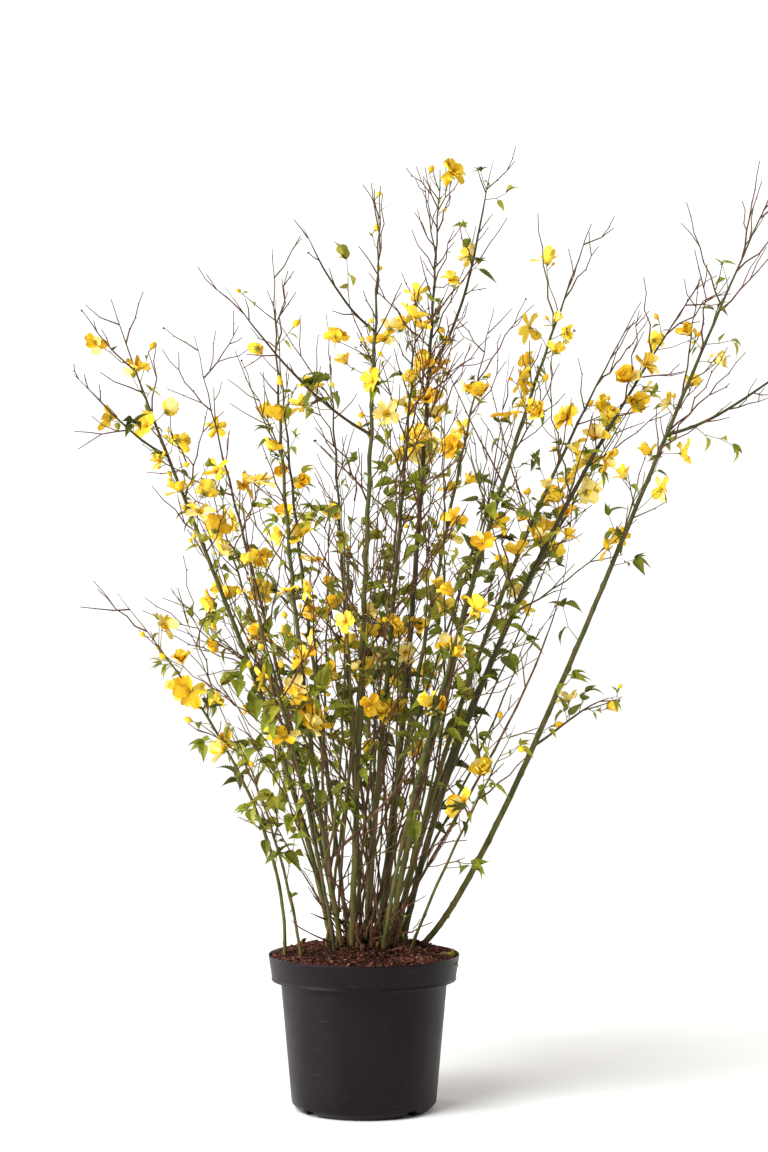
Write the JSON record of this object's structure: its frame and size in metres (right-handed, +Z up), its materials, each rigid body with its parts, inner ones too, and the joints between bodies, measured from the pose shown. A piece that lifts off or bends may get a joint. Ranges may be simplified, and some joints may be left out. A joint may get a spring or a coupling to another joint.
{
  "type": "japanese kerria in a nursery pot",
  "caption": "Flowering garden shrub: a clump of slender arching green canes with open sprays of leaves and golden blossom, growing in a black nursery pot.",
  "frame": {"origin": "centre of the pot's flat underside", "axes": "+Z up from the underside, -Y the front of the plant, +X to the right seen from the front"},
  "size_m": [1.0637, 0.6905, 1.4],
  "materials": {
    "pot_plastic": "satin black moulded plastic",
    "compost": "loose bark and peat crumbs",
    "cane_bark": "smooth green bark",
    "foliage": "leaves and golden flowers"
  },
  "bodies": {
    "root": {"pot": "pot_plastic", "compost": "compost", "cane_left_outer": "cane_bark", "cane_left_low": "cane_bark", "cane_left_back": "cane_bark", "cane_left_front": "cane_bark", "cane_left_rear": "cane_bark", "cane_middle_rear": "cane_bark", "cane_middle_front": "cane_bark", "cane_middle_inner": "cane_bark", "cane_middle_high": "cane_bark", "cane_right_inner": "cane_bark", "cane_right_middle": "cane_bark", "cane_right_upper": "cane_bark", "cane_right_rear": "cane_bark", "cane_right_outer": "cane_bark", "cane_back_right": "cane_bark", "cane_back_left": "cane_bark", "cane_front_right": "cane_bark", "cane_front_left": "cane_bark", "cane_low_right": "cane_bark", "cane_low_left": "cane_bark", "cane_low_back": "cane_bark", "bough_left_side": "cane_bark", "bough_front_high": "cane_bark", "bough_front_long": "cane_bark", "bough_high_side": "cane_bark", "bough_outer_side": "cane_bark", "bough_outer_low": "cane_bark", "foliage_left_outer": "foliage", "foliage_left_low": "foliage", "foliage_left_back": "foliage", "foliage_left_front": "foliage", "foliage_left_rear": "foliage", "foliage_middle_rear": "foliage", "foliage_middle_front": "foliage", "foliage_middle_inner": "foliage", "foliage_middle_high": "foliage", "foliage_right_inner": "foliage", "foliage_right_middle": "foliage", "foliage_right_upper": "foliage", "foliage_right_rear": "foliage", "foliage_right_outer": "foliage", "foliage_back_right": "foliage", "foliage_back_left": "foliage", "foliage_front_right": "foliage", "foliage_front_left": "foliage", "foliage_low_right": "foliage", "foliage_low_left": "foliage", "foliage_low_back": "foliage", "foliage_high_side": "foliage"}
  },
  "joints": []
}
